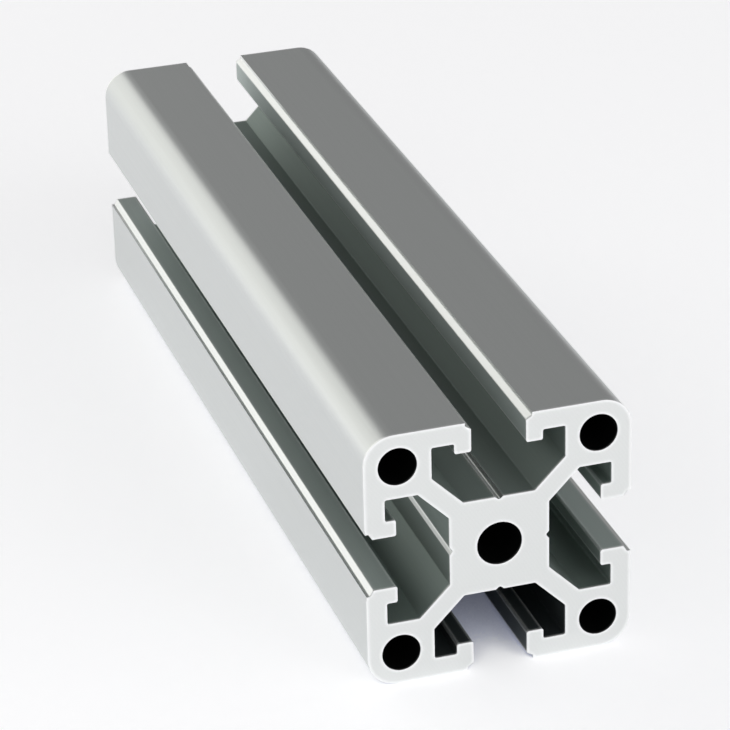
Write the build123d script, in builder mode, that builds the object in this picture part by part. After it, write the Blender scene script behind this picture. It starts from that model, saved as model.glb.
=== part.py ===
from build123d import *
import math
import os

# A short sawn length of square T-slot aluminium profile. The section is the same from end to end:
# a cored square with a diagonal web to each corner, a round hole in each corner block, and a T-slot
# in the middle of each side whose lips turn inward as nibs.

# Stock: the square it fills, how much was sawn off, and the rounding of its four long corners.
side = 40.0
length = 150.0
corner_radius = 4.5

# Core and webs: the square in the middle, its tapping hole, and the webs out to the corner blocks.
core_width = 15.0
core_hole_diameter = 6.8
web_thickness = 3.0

# Corner blocks: one hole down the middle of each.
corner_hole_diameter = 5.8

# T-slot: the mouth between the lips, the lips, their nibs, and the room behind.
mouth_width = 8.2
lip_thickness = 3.0
nib_drop = 1.6
nib_width = 2.5
channel_width = 20.0

# Ledge along each edge of the mouth: a square step down from the face, then a slope into the mouth.
ledge_width = 0.9
ledge_step = 0.5
ledge_slope = 0.55

# Centring groove down the middle of each slot floor: an open V with a round root.
# Its depth is to where the flanks of the V would meet.
groove_width = 1.2
groove_depth = 0.54
groove_round = 0.4

# Rounds the die leaves: on the ends of the nibs, and in the inside corners of the slot.
nib_round = 0.3
inside_round = 0.3

# How far the slot is drawn past the face it opens in.
overrun = 1.0

slot_count = 4

# The corner blocks fill what the channels leave of the side, and a rounding stays within its block's wall.
corner_block = (side - channel_width) / 2
corner_hole_pitch = side - corner_block
corner_round = min(corner_radius, corner_block / 2)

# Levels across the slot and out from the middle of the section.
face_level = side / 2
ledge_level = face_level - ledge_step
lip_level = face_level - lip_thickness
nib_level = lip_level - nib_drop
floor_level = core_width / 2
groove_level = floor_level - groove_depth
web_offset = web_thickness / math.sqrt(2)
mouth_half = mouth_width / 2
ledge_back = mouth_half + ledge_width
channel_half = channel_width / 2
nib_back = mouth_half + nib_width
web_foot = floor_level - web_offset
web_head_level = channel_half + web_offset

with BuildSketch() as slot:
    with BuildLine():
        Polyline(
            (0, face_level + overrun),
            (ledge_back, face_level + overrun),
            (ledge_back, ledge_level),
            (mouth_half, ledge_level - ledge_slope),
            (mouth_half, nib_level),
            (nib_back, nib_level),
            (nib_back, lip_level),
            (channel_half, lip_level),
            (channel_half, web_head_level),
            (web_foot, floor_level),
            (groove_width / 2, floor_level),
            (0, groove_level),
        )
        mirror(about=Plane.YZ)
    make_face()
    rounds = {
        nib_level: nib_round,
        lip_level: inside_round,
        web_head_level: inside_round,
        groove_level: groove_round,
    }
    for level, radius in rounds.items():
        fillet([corner for corner in slot.vertices() if math.isclose(corner.Y, level)], radius=radius)
    web_feet = [corner for corner in slot.vertices() if math.isclose(abs(corner.X), web_foot)]
    fillet(web_feet, radius=inside_round)

# The section stands upright at the back end, facing the front, with its lower face on the floor.
section_plane = Plane(origin=(0, length / 2, side / 2), x_dir=(1, 0, 0), z_dir=(0, -1, 0))

with BuildPart() as extrusion_profile:
    with BuildSketch(section_plane):
        Rectangle(side, side)
        fillet(vertices(), radius=corner_round)
        with PolarLocations(0, slot_count):
            add(slot.sketch, mode=Mode.SUBTRACT)
        Circle(core_hole_diameter / 2, mode=Mode.SUBTRACT)
        with GridLocations(corner_hole_pitch, corner_hole_pitch, 2, 2):
            Circle(corner_hole_diameter / 2, mode=Mode.SUBTRACT)
    extrude(amount=length)

os.makedirs("parts", exist_ok=True)
extrusion_profile.part.label = "extrusion_profile"
export_step(extrusion_profile.part, "parts/extrusion_profile.step")
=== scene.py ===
import logging
import math
from abc import ABC, abstractmethod
from dataclasses import dataclass, fields
from enum import Enum
from typing import Any, Optional

import bpy
from mathutils import Matrix, Vector


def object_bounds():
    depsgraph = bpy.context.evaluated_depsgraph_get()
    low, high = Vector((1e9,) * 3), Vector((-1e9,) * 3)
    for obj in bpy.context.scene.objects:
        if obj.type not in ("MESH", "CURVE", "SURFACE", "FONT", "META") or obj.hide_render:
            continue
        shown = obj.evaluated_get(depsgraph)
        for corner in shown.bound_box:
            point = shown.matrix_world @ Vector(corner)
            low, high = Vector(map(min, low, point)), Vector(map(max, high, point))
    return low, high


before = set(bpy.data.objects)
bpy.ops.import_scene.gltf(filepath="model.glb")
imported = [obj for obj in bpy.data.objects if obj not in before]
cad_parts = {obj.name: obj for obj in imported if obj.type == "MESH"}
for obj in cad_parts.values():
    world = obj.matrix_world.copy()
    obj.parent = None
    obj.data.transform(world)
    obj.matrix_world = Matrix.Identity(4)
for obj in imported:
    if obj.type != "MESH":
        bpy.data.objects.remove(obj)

# The solid's box as it was loaded, before anything is dressed.
CAD_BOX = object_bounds()

LOG = logging.getLogger("extrusion_profile")
PROFILE_NODE = "extrusion_profile"
MM = 0.001
# How many rays a material sends out from a point to find edges and shade.
FEELER_RAYS = 8


def linear(hex_colour: str) -> tuple[float, float, float, float]:
    """Turns an sRGB hex colour into linear light.

    Args:
        hex_colour: the colour as #rrggbb.

    Returns:
        Linear red, green and blue, and an alpha of one.
    """
    channels = [int(hex_colour[i:i + 2], 16) / 255 for i in (1, 3, 5)]
    curved = [c / 12.92 if c <= 0.04045 else ((c + 0.055) / 1.055) ** 2.4 for c in channels]
    return (*curved, 1.0)


def add_node(tree: bpy.types.NodeTree, kind: str, settings: Optional[dict[str, Any]] = None,
             inputs: Optional[dict[str, Any]] = None) -> dict[str, bpy.types.NodeSocket]:
    """Adds one node with its settings and links.

    Args:
        tree: the node tree that takes it.
        kind: the node's type name.
        settings: the node's own options by name.
        inputs: a plain value or an output socket for each input, by the input's identifier.

    Returns:
        The new node's outputs, by their identifiers.
    """
    node = tree.nodes.new(kind)
    for name, value in (settings or {}).items():
        setattr(node, name, value)
    sockets = {socket.identifier: socket for socket in node.inputs}
    for name, value in (inputs or {}).items():
        if isinstance(value, bpy.types.NodeSocket):
            tree.links.new(value, sockets[name])
        else:
            sockets[name].default_value = value
    return {socket.identifier: socket for socket in node.outputs}


@dataclass(frozen=True)
class Surface:
    """What a finish gives the shader: its colour, its roughness and its relief in metres."""

    colour: bpy.types.NodeSocket
    roughness: bpy.types.NodeSocket
    relief: bpy.types.NodeSocket


def laid(tree: bpy.types.NodeTree, share: bpy.types.NodeSocket, below: Surface, above: Surface) -> Surface:
    """Lays one finish over another.

    Args:
        tree: the material's node tree.
        share: how much of the upper one shows.
        below: the lower finish.
        above: the upper finish.

    Returns:
        The finish that shows.
    """
    colour = add_node(tree, "ShaderNodeMix", {"data_type": "RGBA"},
                      {"Factor_Float": share, "A_Color": below.colour, "B_Color": above.colour})
    roughness = add_node(tree, "ShaderNodeMix", {"data_type": "FLOAT"},
                         {"Factor_Float": share, "A_Float": below.roughness, "B_Float": above.roughness})
    relief = add_node(tree, "ShaderNodeMix", {"data_type": "FLOAT"},
                      {"Factor_Float": share, "A_Float": below.relief, "B_Float": above.relief})
    return Surface(colour["Result_Color"], roughness["Result_Float"], relief["Result_Float"])


@dataclass(frozen=True)
class MarkedFinish(ABC):
    """A finish with marks that differ a little from its ground in colour, roughness and height."""

    colour: str
    mark_colour: str
    roughness: float
    mark_roughness: float
    mark_relief: float

    @abstractmethod
    def marks(self, tree: bpy.types.NodeTree, place: bpy.types.NodeSocket) -> bpy.types.NodeSocket:
        """Draws the marks.

        Args:
            tree: the material's node tree.
            place: the point on the object, in metres.

        Returns:
            One on a mark, nought on the ground.
        """

    def surface(self, tree: bpy.types.NodeTree, place: bpy.types.NodeSocket) -> Surface:
        """Makes the finish.

        Args:
            tree: the material's node tree.
            place: the point on the object, in metres.

        Returns:
            The finish's colour, roughness and relief.
        """
        share = self.marks(tree, place)
        colour = add_node(tree, "ShaderNodeMix", {"data_type": "RGBA"}, {
            "Factor_Float": share, "A_Color": linear(self.colour), "B_Color": linear(self.mark_colour)})
        roughness = add_node(tree, "ShaderNodeMix", {"data_type": "FLOAT"}, {
            "Factor_Float": share, "A_Float": self.roughness, "B_Float": self.mark_roughness})
        relief = add_node(tree, "ShaderNodeMath", {"operation": "MULTIPLY"},
                          {"Value": share, "Value_001": self.mark_relief})
        return Surface(colour["Result_Color"], roughness["Result_Float"], relief["Value"])


@dataclass(frozen=True)
class ClearAnodisedSkin(MarkedFinish):
    """The extruded sides: aluminium pressed through a die, etched and clear anodised.

    The etch leaves a satin grey with soft reflections, and the die leaves faint lines that run the
    whole length.
    """

    colour: str = "#dadddc"
    mark_colour: str = "#d8dbda"
    roughness: float = 0.37
    mark_roughness: float = 0.39
    mark_relief: float = 0.0003 * MM
    # Real die lines lie about 0.05 mm apart; these are drawn coarser, so that they show.
    line_spacing: float = 0.30 * MM
    line_length: float = 60.0 * MM
    # How many finer sets of lines lie on the first, and how strong each is beside the one before.
    line_octaves: float = 3.0
    octave_share: float = 0.6
    # The levels of the noise at which a line begins to show and shows in full.
    line_begins: float = 0.3
    line_full: float = 0.7

    def marks(self, tree: bpy.types.NodeTree, place: bpy.types.NodeSocket) -> bpy.types.NodeSocket:
        """Draws the die lines along the length.

        Args:
            tree: the material's node tree.
            place: the point on the object, in metres.

        Returns:
            One on a line, nought between lines.
        """
        across = 1 / self.line_spacing
        along = 1 / self.line_length
        drawn = add_node(tree, "ShaderNodeMapping", {"vector_type": "POINT"},
                         {"Vector": place, "Scale": (across, along, across)})
        lines = add_node(tree, "ShaderNodeTexNoise", {"noise_dimensions": "3D"}, {
            "Vector": drawn["Vector"],
            "Scale": 1.0,
            "Detail": self.line_octaves,
            "Roughness": self.octave_share,
        })
        shown = add_node(tree, "ShaderNodeMapRange", {},
                         {"Value": lines["Fac"], "From Min": self.line_begins, "From Max": self.line_full})
        return shown["Result"]


@dataclass(frozen=True)
class SawnEnd(MarkedFinish):
    """The sawn ends: bare aluminium cut by a fine circular blade.

    The cut is paler and flatter than the skin, with the faint arcs of the blade's teeth.
    """

    colour: str = "#e9ebea"
    mark_colour: str = "#e5e7e6"
    roughness: float = 0.52
    mark_roughness: float = 0.57
    mark_relief: float = 0.0010 * MM
    blade_radius: float = 175.0 * MM
    # Real tooth marks lie about 0.1 mm apart; these are drawn coarser, so that they show.
    mark_spacing: float = 0.5 * MM
    # How far the arcs waver, how finely, and at what scale beside their spacing.
    waver: float = 2.0
    waver_octaves: float = 2.0
    waver_scale: float = 0.6
    grain: float = 0.25 * MM
    grain_octaves: float = 2.0
    # How much of the marks is torn grain, and the rest the blade's arcs.
    grain_share: float = 0.8

    def marks(self, tree: bpy.types.NodeTree, place: bpy.types.NodeSocket) -> bpy.types.NodeSocket:
        """Draws the blade's arcs and the torn grain.

        Args:
            tree: the material's node tree.
            place: the point on the object, in metres.

        Returns:
            One on a mark, nought between marks.
        """
        blade_centre = (-self.blade_radius, 0, -self.blade_radius / 2)
        from_blade = add_node(tree, "ShaderNodeMapping", {"vector_type": "TEXTURE"},
                              {"Vector": place, "Location": blade_centre})
        flat = add_node(tree, "ShaderNodeVectorMath", {"operation": "MULTIPLY"},
                        {"Vector": from_blade["Vector"], "Vector_001": (1, 0, 1)})
        # A wave texture's rings lie a tenth of pi apart at a scale of one.
        ring_scale = math.pi / 10 / self.mark_spacing
        arcs = add_node(tree, "ShaderNodeTexWave",
                        {"wave_type": "RINGS", "rings_direction": "SPHERICAL", "wave_profile": "SIN"},
                        {"Vector": flat["Vector"], "Scale": ring_scale, "Distortion": self.waver,
                         "Detail": self.waver_octaves, "Detail Scale": self.waver_scale})
        grit = add_node(tree, "ShaderNodeTexNoise", {"noise_dimensions": "3D"},
                        {"Vector": place, "Scale": 1 / self.grain, "Detail": self.grain_octaves})
        both = add_node(tree, "ShaderNodeMix", {"data_type": "FLOAT"},
                        {"Factor_Float": self.grain_share, "A_Float": arcs["Fac"], "B_Float": grit["Fac"]})
        return both["Result_Float"]


@dataclass(frozen=True)
class SkinInPaintedShade:
    """The skin with painted shade: its colour darkened by a tint where shade falls, and duller too where it
    is rougher.
    """

    tint: str
    more_roughness: float = 0.0

    def surface(self, tree: bpy.types.NodeTree, skin: Surface) -> Surface:
        """Paints shade on the skin by darkening its colour, and dulls it.

        Args:
            tree: the material's node tree.
            skin: the skin as it is further out.

        Returns:
            The skin as it is here.
        """
        # Painted shade: the tint darkens the skin's colour.
        colour = add_node(tree, "ShaderNodeMix", {"data_type": "RGBA", "blend_type": "MULTIPLY"},
                          {"Factor_Float": 1.0, "A_Color": skin.colour, "B_Color": linear(self.tint)})
        roughness = add_node(tree, "ShaderNodeMath", {"operation": "ADD"},
                             {"Value": skin.roughness, "Value_001": self.more_roughness})
        return Surface(colour["Result_Color"], roughness["Value"], skin.relief)


@dataclass(frozen=True)
class LedgeAndGrooveHighlight:
    """The narrow ledges and grooves: a painted highlight brightens their colour, and their light is rounded
    at the edges.
    """

    # The painted highlight's colour.
    colour: str = "#f4f6f5"
    # How much of the skin's own tone the painted highlight hides.
    cover: float = 0.85
    softness: float = 0.5 * MM

    def surface(self, tree: bpy.types.NodeTree, skin: Surface) -> Surface:
        """Paints the highlight on the skin.

        Args:
            tree: the material's node tree.
            skin: the skin as it is on an open face.

        Returns:
            The skin as it is on a ledge or in a groove.
        """
        colour = add_node(tree, "ShaderNodeMix", {"data_type": "RGBA"}, {
            "Factor_Float": self.cover, "A_Color": skin.colour, "B_Color": linear(self.colour)})
        return Surface(colour["Result_Color"], skin.roughness, skin.relief)

    def normal(self, tree: bpy.types.NodeTree, slope: bpy.types.NodeSocket) -> bpy.types.NodeSocket:
        """Rounds the light on the ledges' slopes.

        Args:
            tree: the material's node tree.
            slope: one on a slope, nought elsewhere.

        Returns:
            The way the surface faces.
        """
        plain = add_node(tree, "ShaderNodeNewGeometry")
        soft = add_node(tree, "ShaderNodeBevel", {"samples": FEELER_RAYS}, {"Radius": self.softness})
        facing = add_node(tree, "ShaderNodeMix", {"data_type": "VECTOR"},
                          {"Factor_Float": slope, "A_Vector": plain["Normal"], "B_Vector": soft["Normal"]})
        return facing["Result_Vector"]


@dataclass(frozen=True)
class BurnishAndEdgeHighlight:
    """The outside edges, lighter than the faces: partly the die's and the deburring's burnish, partly a
    painted highlight.
    """

    # The edges' colour: burnished metal and painted highlight in one.
    colour: str = "#fafbfb"
    reach: float = 0.60 * MM
    # How open the metal behind a point is on a flat face, and right at an edge.
    open_flat: float = 0.95
    open_edge: float = 0.65

    def over(self, tree: bpy.types.NodeTree, colour: bpy.types.NodeSocket, plain: bpy.types.NodeSocket,
             end: bpy.types.NodeSocket) -> bpy.types.NodeSocket:
        """Lightens the outside edges with the burnish and a painted highlight.

        Args:
            tree: the material's node tree.
            colour: the colour of the faces.
            plain: one where the sides' edges stay as they are, at the rims of the slots.
            end: one on the sawn ends, whose edges all get the burnish and the painted highlight.

        Returns:
            The colour with its edges.
        """
        behind = add_node(tree, "ShaderNodeAmbientOcclusion",
                          {"inside": True, "only_local": True, "samples": FEELER_RAYS},
                          {"Distance": self.reach})
        edge = add_node(tree, "ShaderNodeMapRange", {},
                        {"Value": behind["AO"], "From Min": self.open_flat, "From Max": self.open_edge})
        off_rim = add_node(tree, "ShaderNodeMath", {"operation": "SUBTRACT"},
                           {"Value": 1.0, "Value_001": plain})
        worn_and_highlit = add_node(tree, "ShaderNodeMath", {"operation": "MAXIMUM"},
                        {"Value": end, "Value_001": off_rim["Value"]})
        share = add_node(tree, "ShaderNodeMath", {"operation": "MULTIPLY"},
                         {"Value": edge["Result"], "Value_001": worn_and_highlit["Value"]})
        edged = add_node(tree, "ShaderNodeMix", {"data_type": "RGBA"},
                         {"Factor_Float": share["Value"], "A_Color": colour, "B_Color": linear(self.colour)})
        return edged["Result_Color"]


@dataclass(frozen=True)
class Zones:
    """Which part of the section a point lies on, as one or nought for each."""

    slot: bpy.types.NodeSocket
    channel: bpy.types.NodeSocket
    table_slot: bpy.types.NodeSocket
    groove: bpy.types.NodeSocket
    ledge: bpy.types.NodeSocket
    slope: bpy.types.NodeSocket
    rim: bpy.types.NodeSocket
    hole: bpy.types.NodeSocket


@dataclass(frozen=True)
class Section:
    """The sizes of the section that the painted shade, the painted highlights and the rounded slopes follow.
    """

    core_width: float = 15.0 * MM
    core_hole_diameter: float = 6.8 * MM
    corner_hole_diameter: float = 5.8 * MM
    channel_width: float = 20.0 * MM
    mouth_width: float = 8.2 * MM
    nib_reach: float = 4.6 * MM
    ledge_width: float = 0.9 * MM
    ledge_step: float = 0.5 * MM
    ledge_slope: float = 0.55 * MM
    groove_width: float = 1.2 * MM
    groove_depth: float = 0.4 * MM
    # How far from the ledge a face stays free of the burnish and the painted edge highlight.
    rim_width: float = 0.6 * MM
    # How far a test reaches past its line, so that a face on the line falls on the right side of it.
    slack: float = 0.03 * MM

    def zones(self, tree: bpy.types.NodeTree, place: bpy.types.NodeSocket) -> Zones:
        """Finds the parts of the section, with its eight like parts folded into one.

        Args:
            tree: the material's node tree.
            place: the point on the object, in metres.

        Returns:
            One or nought for each part.
        """
        low, high = CAD_BOX
        face = (high.z - low.z) / 2
        mouth_half = self.mouth_width / 2
        channel_half = self.channel_width / 2
        ledge_back = mouth_half + self.ledge_width
        ledge_level = face - self.ledge_step
        ledge_foot = ledge_level - self.ledge_slope
        groove_root = self.core_width / 2 - self.groove_depth
        corner_hole = (face + channel_half) / 2
        table_slot_top = low.z + face - channel_half

        centred = add_node(tree, "ShaderNodeVectorMath", {"operation": "SUBTRACT"},
                           {"Vector": place, "Vector_001": (low + high) / 2})
        folded = add_node(tree, "ShaderNodeVectorMath", {"operation": "ABSOLUTE"},
                          {"Vector": centred["Vector"]})
        parts = add_node(tree, "ShaderNodeSeparateXYZ", {}, {"Vector": folded["Vector"]})
        flat = add_node(tree, "ShaderNodeCombineXYZ", {}, {"X": parts["X"], "Z": parts["Z"]})
        from_hole = add_node(tree, "ShaderNodeVectorMath", {"operation": "DISTANCE"},
                             {"Vector": flat["Vector"], "Vector_001": (corner_hole, 0.0, corner_hole)})
        lifted = add_node(tree, "ShaderNodeSeparateXYZ", {}, {"Vector": place})
        found = {"across": parts["X"], "up": parts["Z"], "height": lifted["Z"],
                 "from_hole": from_hole["Value"]}
        # Each step's name, what it does, and the two that it does it to.
        steps = (
            ("aside", "MINIMUM", "across", "up"),
            ("out", "MAXIMUM", "across", "up"),
            ("below_ledge", "LESS_THAN", "out", ledge_foot - self.slack),
            ("off_corner", "LESS_THAN", "aside", channel_half + self.slack),
            ("slot", "MULTIPLY", "below_ledge", "off_corner"),
            ("below_nib", "LESS_THAN", "out", face - self.nib_reach + self.slack),
            ("past_nib", "GREATER_THAN", "aside", mouth_half + self.slack),
            ("behind_lip", "MAXIMUM", "below_nib", "past_nib"),
            ("channel", "MULTIPLY", "slot", "behind_lip"),
            ("low_down", "LESS_THAN", "height", table_slot_top - self.slack),
            ("table_slot", "MULTIPLY", "slot", "low_down"),
            ("near_middle", "LESS_THAN", "aside", self.groove_width / 2 + self.slack),
            ("past_core", "GREATER_THAN", "out", groove_root - self.slack),
            ("groove", "MULTIPLY", "near_middle", "past_core"),
            ("near_mouth", "LESS_THAN", "aside", ledge_back + self.slack),
            ("ledge", "GREATER_THAN", "near_mouth", "slot"),
            ("below_step", "LESS_THAN", "out", ledge_level + self.slack),
            ("slope", "MULTIPLY", "ledge", "below_step"),
            ("near_rim", "LESS_THAN", "aside", ledge_back + self.rim_width),
            ("rim", "GREATER_THAN", "near_rim", "slot"),
            ("in_corner_hole", "LESS_THAN", "from_hole", self.corner_hole_diameter / 2 + self.slack),
            ("in_core_hole", "LESS_THAN", "out", self.core_hole_diameter / 2 + self.slack),
            ("hole", "MAXIMUM", "in_corner_hole", "in_core_hole"),
        )
        for name, operation, first, second in steps:
            step = add_node(tree, "ShaderNodeMath", {"operation": operation},
                            {"Value": found[first], "Value_001": found.get(second, second)})
            found[name] = step["Value"]
        return Zones(**{zone.name: found[zone.name] for zone in fields(Zones)})


@dataclass(frozen=True)
class ProfileStock:
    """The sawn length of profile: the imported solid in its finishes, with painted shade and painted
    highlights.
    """

    section: Section = Section()
    skin: ClearAnodisedSkin = ClearAnodisedSkin()
    cut: SawnEnd = SawnEnd()
    line: LedgeAndGrooveHighlight = LedgeAndGrooveHighlight()
    edge: BurnishAndEdgeHighlight = BurnishAndEdgeHighlight()
    # Painted shade: the mouth and the hole walls are darkened over the skin, and the other two over the
    # mouth; the mouth is rougher too.
    mouth: SkinInPaintedShade = SkinInPaintedShade("#e6edeb", more_roughness=0.27)
    # The channels behind the lips: painted shade in the recesses.
    channel: SkinInPaintedShade = SkinInPaintedShade("#cacfcc")
    # The slot that lies on the table: painted shade, darkest, where little light reaches it.
    table_slot: SkinInPaintedShade = SkinInPaintedShade("#6e7074")
    # The hole walls: painted shade, nearly black, deep in the holes.
    hole_wall: SkinInPaintedShade = SkinInPaintedShade("#5a5c5c")
    # A face counts as an end where its normal leans this far along the length.
    end_from: float = 0.6
    end_to: float = 0.8

    def finish(self, tree: bpy.types.NodeTree, place: bpy.types.NodeSocket, zones: Zones,
               end: bpy.types.NodeSocket) -> Surface:
        """Lays the finishes, the painted shade and the painted highlights over each other.

        Args:
            tree: the material's node tree.
            place: the point on the object, in metres.
            zones: the part of the section that the point lies on.
            end: one on the sawn ends.

        Returns:
            The finish that shows.
        """
        skin = self.skin.surface(tree, place)
        line = self.line.surface(tree, skin)
        mouth = self.mouth.surface(tree, skin)
        # Painted shade in the slots, channels, lower slot and holes; painted highlights on grooves and
        # ledges.
        layers = (
            (zones.slot, mouth),
            (zones.channel, self.channel.surface(tree, mouth)),
            (zones.table_slot, self.table_slot.surface(tree, mouth)),
            (zones.groove, line),
            (zones.ledge, line),
            (zones.hole, self.hole_wall.surface(tree, skin)),
            (end, self.cut.surface(tree, place)),
        )
        shown = skin
        for share, layer in layers:
            shown = laid(tree, share, shown, layer)
        return shown

    def material(self) -> bpy.types.Material:
        """Makes the metal, with the cut on faces that look along the length and the skin elsewhere.

        Returns:
            The material.
        """
        # Satin grey sides with soft reflections, paler flatter ends, burnish and painted highlight on edges,
        # painted shade in slots.
        metal = bpy.data.materials.new("clear_anodised_aluminium_extruded_and_sawn")
        metal.use_nodes = True
        tree = metal.node_tree
        tree.nodes.clear()
        where = add_node(tree, "ShaderNodeTexCoord")
        facing = add_node(tree, "ShaderNodeSeparateXYZ", {}, {"Vector": where["Normal"]})
        along = add_node(tree, "ShaderNodeMath", {"operation": "ABSOLUTE"}, {"Value": facing["Y"]})
        end = add_node(tree, "ShaderNodeMapRange", {},
                       {"Value": along["Value"], "From Min": self.end_from, "From Max": self.end_to})
        zones = self.section.zones(tree, where["Object"])
        shown = self.finish(tree, where["Object"], zones, end["Result"])
        # The relief is in metres already, so the bump takes it as it is.
        bump = add_node(tree, "ShaderNodeBump", {}, {
            "Height": shown.relief,
            "Strength": 1.0,
            "Distance": 1.0,
            "Normal": self.line.normal(tree, zones.slope),
        })
        shader = add_node(tree, "ShaderNodeBsdfPrincipled", {}, {
            "Base Color": self.edge.over(tree, shown.colour, zones.rim, end["Result"]),
            "Metallic": 1.0,
            "Roughness": shown.roughness,
            "Normal": bump["Normal"],
        })
        add_node(tree, "ShaderNodeOutputMaterial", {}, {"Surface": shader["BSDF"]})
        return metal

    def dress(self) -> bpy.types.Object:
        """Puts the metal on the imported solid.

        Returns:
            The solid's object.
        """
        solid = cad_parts[PROFILE_NODE]
        metal = self.material()
        for place in solid.material_slots:
            place.material = metal
        return solid


@dataclass(frozen=True)
class PaleFloor:
    """A smooth pale table top, matt, that keeps the profile's soft shadow, with painted shadow where the
    profile shuts it in.
    """

    colour: str = "#f6f6f7"
    grain_colour: str = "#f2f2f4"
    # The painted shadow's colour, where the profile shuts the table in.
    shade_colour: str = "#b9bfdc"
    roughness: float = 0.9
    # Real laminate has a grain of about 0.2 mm; this one is drawn coarser, so that it shows.
    grain: float = 2.0 * MM
    grain_octaves: float = 2.0
    half_width: float = 4.0
    # How much of white the table adds where it is seen straight or in the metal.
    glow: float = 0.56
    # How open the table is where its painted shadow is full, as in the lower slot where the profile shuts it
    # in, and where it ends out in the clear.
    shade_reach: float = 60.0 * MM
    open_shut: float = 0.02
    open_clear: float = 0.27
    # The part of that white which the painted shadow leaves where it is shut in.
    glow_shut: float = 0.14

    def build(self) -> bpy.types.Object:
        """Lays the floor under the profile.

        Returns:
            The floor's object.
        """
        mesh = bpy.data.meshes.new("floor")
        reach = self.half_width
        corners = [(-reach, -reach, 0), (reach, -reach, 0), (reach, reach, 0), (-reach, reach, 0)]
        mesh.from_pydata(corners, [], [(0, 1, 2, 3)])
        floor = bpy.data.objects.new("floor", mesh)
        bpy.context.scene.collection.objects.link(floor)
        mesh.materials.append(self.material())
        return floor

    def material(self) -> bpy.types.Material:
        """Makes the table top, with a faint grain, white added where it is seen straight or in metal, and a
        painted shadow.

        Returns:
            The material.
        """
        # An even, nearly white ground without gloss, with a bluish painted shadow where the profile shuts it
        # in.
        board = bpy.data.materials.new("pale_matt_laminate")
        board.use_nodes = True
        tree = board.node_tree
        tree.nodes.clear()
        where = add_node(tree, "ShaderNodeTexCoord")
        grain = add_node(tree, "ShaderNodeTexNoise", {"noise_dimensions": "3D"},
                         {"Vector": where["Object"], "Scale": 1 / self.grain, "Detail": self.grain_octaves})
        # Painted shadow: the table turns bluish and its white dims where the profile shuts it in from above.
        above = add_node(tree, "ShaderNodeAmbientOcclusion",
                         {"inside": False, "only_local": False, "samples": FEELER_RAYS},
                         {"Distance": self.shade_reach})
        opened = add_node(tree, "ShaderNodeMapRange", {},
                          {"Value": above["AO"], "From Min": self.open_shut, "From Max": self.open_clear})
        clear = opened["Result"]
        grained = add_node(tree, "ShaderNodeMix", {"data_type": "RGBA"}, {
            "Factor_Float": grain["Fac"],
            "A_Color": linear(self.colour),
            "B_Color": linear(self.grain_colour),
        })
        tone = add_node(tree, "ShaderNodeMix", {"data_type": "RGBA"}, {
            "Factor_Float": clear, "A_Color": linear(self.shade_colour), "B_Color": grained["Result_Color"]})
        level = add_node(tree, "ShaderNodeMix", {"data_type": "FLOAT"},
                         {"Factor_Float": clear, "A_Float": self.glow * self.glow_shut, "B_Float": self.glow})
        path = add_node(tree, "ShaderNodeLightPath")
        # The metal sees the table's white dimmed there too, a painted shadow in its reflections.
        in_metal = add_node(tree, "ShaderNodeMath", {"operation": "MULTIPLY"},
                            {"Value": path["Is Glossy Ray"], "Value_001": clear})
        seen = add_node(tree, "ShaderNodeMath", {"operation": "MAXIMUM"},
                        {"Value": path["Is Camera Ray"], "Value_001": in_metal["Value"]})
        shown = add_node(tree, "ShaderNodeMath", {"operation": "MAXIMUM"},
                         {"Value": seen["Value"], "Value_001": path["Is Transmission Ray"]})
        strength = add_node(tree, "ShaderNodeMath", {"operation": "MULTIPLY"},
                            {"Value": shown["Value"], "Value_001": level["Result_Float"]})
        shader = add_node(tree, "ShaderNodeBsdfPrincipled", {}, {
            "Base Color": tone["Result_Color"], "Roughness": self.roughness, "Specular IOR Level": 0.0})
        glow = add_node(tree, "ShaderNodeEmission", {},
                        {"Color": tone["Result_Color"], "Strength": strength["Value"]})
        both = add_node(tree, "ShaderNodeAddShader", {},
                        {"Shader": shader["BSDF"], "Shader_001": glow["Emission"]})
        add_node(tree, "ShaderNodeOutputMaterial", {}, {"Surface": both["Shader"]})
        return board


class Shape(Enum):
    """A soft lamp's outline: its name in Blender, and its area as a share of its width times its height."""

    SQUARE = ("RECTANGLE", 1.0)
    ROUND = ("ELLIPSE", math.pi / 4)


@dataclass(frozen=True)
class Softbox:
    """A soft lamp that faces the profile.

    The azimuth is turned from straight behind the profile towards its left, and the elevation is up
    from the floor, both in degrees. Lengths are in metres, and a radiance of one is white.
    """

    name: str
    azimuth: float
    elevation: float
    distance: float
    width: float
    height: float
    radiance: float
    shape: Shape = Shape.SQUARE
    colour: str = "#ffffff"

    def build(self, aim: Vector) -> bpy.types.Object:
        """Hangs the lamp, out of the camera's sight.

        Args:
            aim: the point that it faces.

        Returns:
            The lamp's object.
        """
        turn = math.radians(self.azimuth)
        rise = math.radians(self.elevation)
        away = Vector((-math.sin(turn) * math.cos(rise), math.cos(turn) * math.cos(rise), math.sin(rise)))
        lamp = bpy.data.lights.new(self.name, "AREA")
        lamp.shape, filled = self.shape.value
        lamp.size = self.width
        lamp.size_y = self.height
        lamp.color = linear(self.colour)[:3]
        # An area lamp's power is its radiance times pi times its area.
        lamp.energy = self.radiance * math.pi * self.width * self.height * filled
        softbox = bpy.data.objects.new(self.name, lamp)
        bpy.context.scene.collection.objects.link(softbox)
        softbox.location = aim + away * self.distance
        softbox.rotation_mode = "QUATERNION"
        softbox.rotation_quaternion = (-away).to_track_quat("-Z", "Y")
        softbox.visible_camera = False
        return softbox


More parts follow.
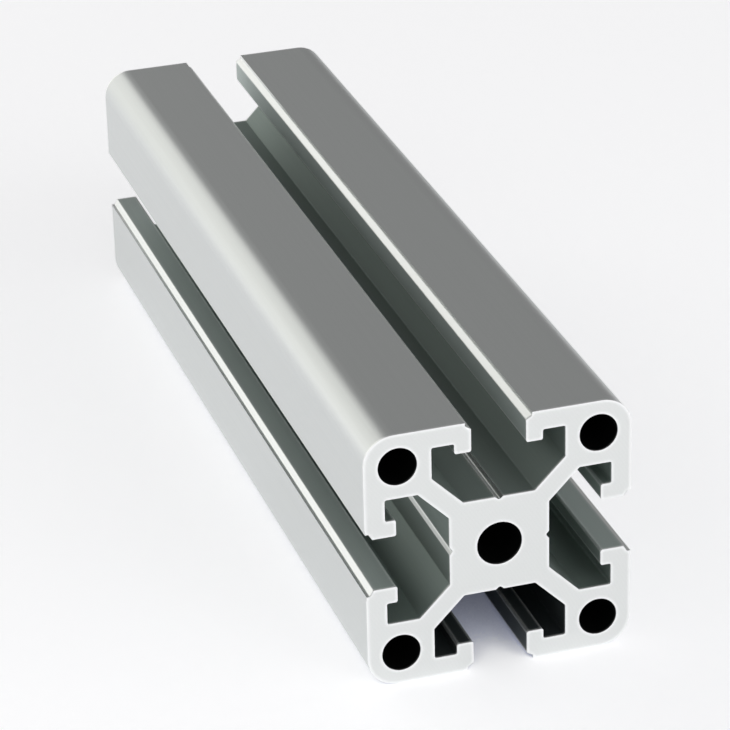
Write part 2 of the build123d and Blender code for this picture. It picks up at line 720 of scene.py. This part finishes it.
@dataclass(frozen=True)
class Studio:
    """The pale floor, the grey room around it and the soft lamps."""

    floor: PaleFloor = PaleFloor()
    room_grey: float = 0.15
    lamps: tuple[Softbox, ...] = (
        Softbox("back_left_octabox", 36.0, 6.0, 1.2, 1.9, 1.9, 0.71, Shape.ROUND, "#fffef8"),
        Softbox("back_reflector", 16.0, 20.0, 1.2, 0.8, 0.8, 0.29, Shape.ROUND),
        Softbox("back_left_strip", 62.0, 4.0, 0.4, 0.5, 0.25, 0.34),
        Softbox("left_front_softbox", 125.0, 30.0, 0.35, 0.3, 0.2, 0.60),
        Softbox("front_softbox", 180.0, 25.0, 1.2, 1.6, 0.9, 0.97),
        Softbox("front_right_softbox", -140.0, 15.0, 1.3, 1.4, 0.9, 1.20),
        Softbox("right_softbox", -85.0, 18.0, 1.3, 1.3, 0.7, 0.30),
        Softbox("back_right_bounce", -25.0, 30.0, 1.2, 1.4, 0.9, 0.15),
        Softbox("overhead_softbox", 0.0, 90.0, 1.5, 0.6, 0.6, 0.50),
    )

    def build(self) -> list[bpy.types.Object]:
        """Sets up the room.

        Returns:
            The floor and the lamps.
        """
        scene = bpy.context.scene
        scene.view_settings.view_transform = "Standard"
        room = bpy.data.worlds.new("grey_room")
        room.use_nodes = True
        shader = room.node_tree.nodes["Background"]
        shader.inputs["Color"].default_value = (self.room_grey,) * 3 + (1.0,)
        shader.inputs["Strength"].default_value = 1.0
        scene.world = room
        low, high = CAD_BOX
        middle = (low + high) / 2
        return [self.floor.build()] + [lamp.build(middle) for lamp in self.lamps]


@dataclass(frozen=True)
class PhotoCamera:
    """The camera that took the photo, as fitted to the near end's holes and the long edges."""

    # Where it stands, from the middle of the near end's foot.
    offset: tuple[float, float, float] = (-142.6 * MM, -403.3 * MM, 257.0 * MM)
    # Where it looks: to the right of straight along the length, down from level, and its lean.
    azimuth: float = 17.0
    dip: float = 25.98
    lean: float = -1.55
    focal_pixels: float = 3430.0
    picture_pixels: float = 730.0
    sensor_width: float = 36.0

    def build(self) -> bpy.types.Object:
        """Sets up the camera.

        Returns:
            The camera's object.
        """
        data = bpy.data.cameras.new("photo_camera")
        data.sensor_width = self.sensor_width
        data.lens = self.sensor_width * self.focal_pixels / self.picture_pixels
        camera = bpy.data.objects.new("photo_camera", data)
        bpy.context.scene.collection.objects.link(camera)
        low, high = CAD_BOX
        near_foot = Vector(((low.x + high.x) / 2, low.y, low.z))
        turn = Matrix.Rotation(math.radians(-self.azimuth), 4, "Z")
        tip = Matrix.Rotation(math.radians(90 - self.dip), 4, "X")
        roll = Matrix.Rotation(math.radians(self.lean), 4, "Z")
        camera.matrix_world = Matrix.Translation(near_foot + Vector(self.offset)) @ turn @ tip @ roll
        bpy.context.scene.camera = camera
        return camera


def main() -> None:
    """Dresses the profile and sets up its studio and camera."""
    logging.basicConfig(level=logging.INFO)
    LOG.info("dressed %s", ProfileStock().dress().name)
    for thing in Studio().build():
        LOG.info("set up %s", thing.name)
    LOG.info("set up %s", PhotoCamera().build().name)


if __name__ == "__main__":
    main()
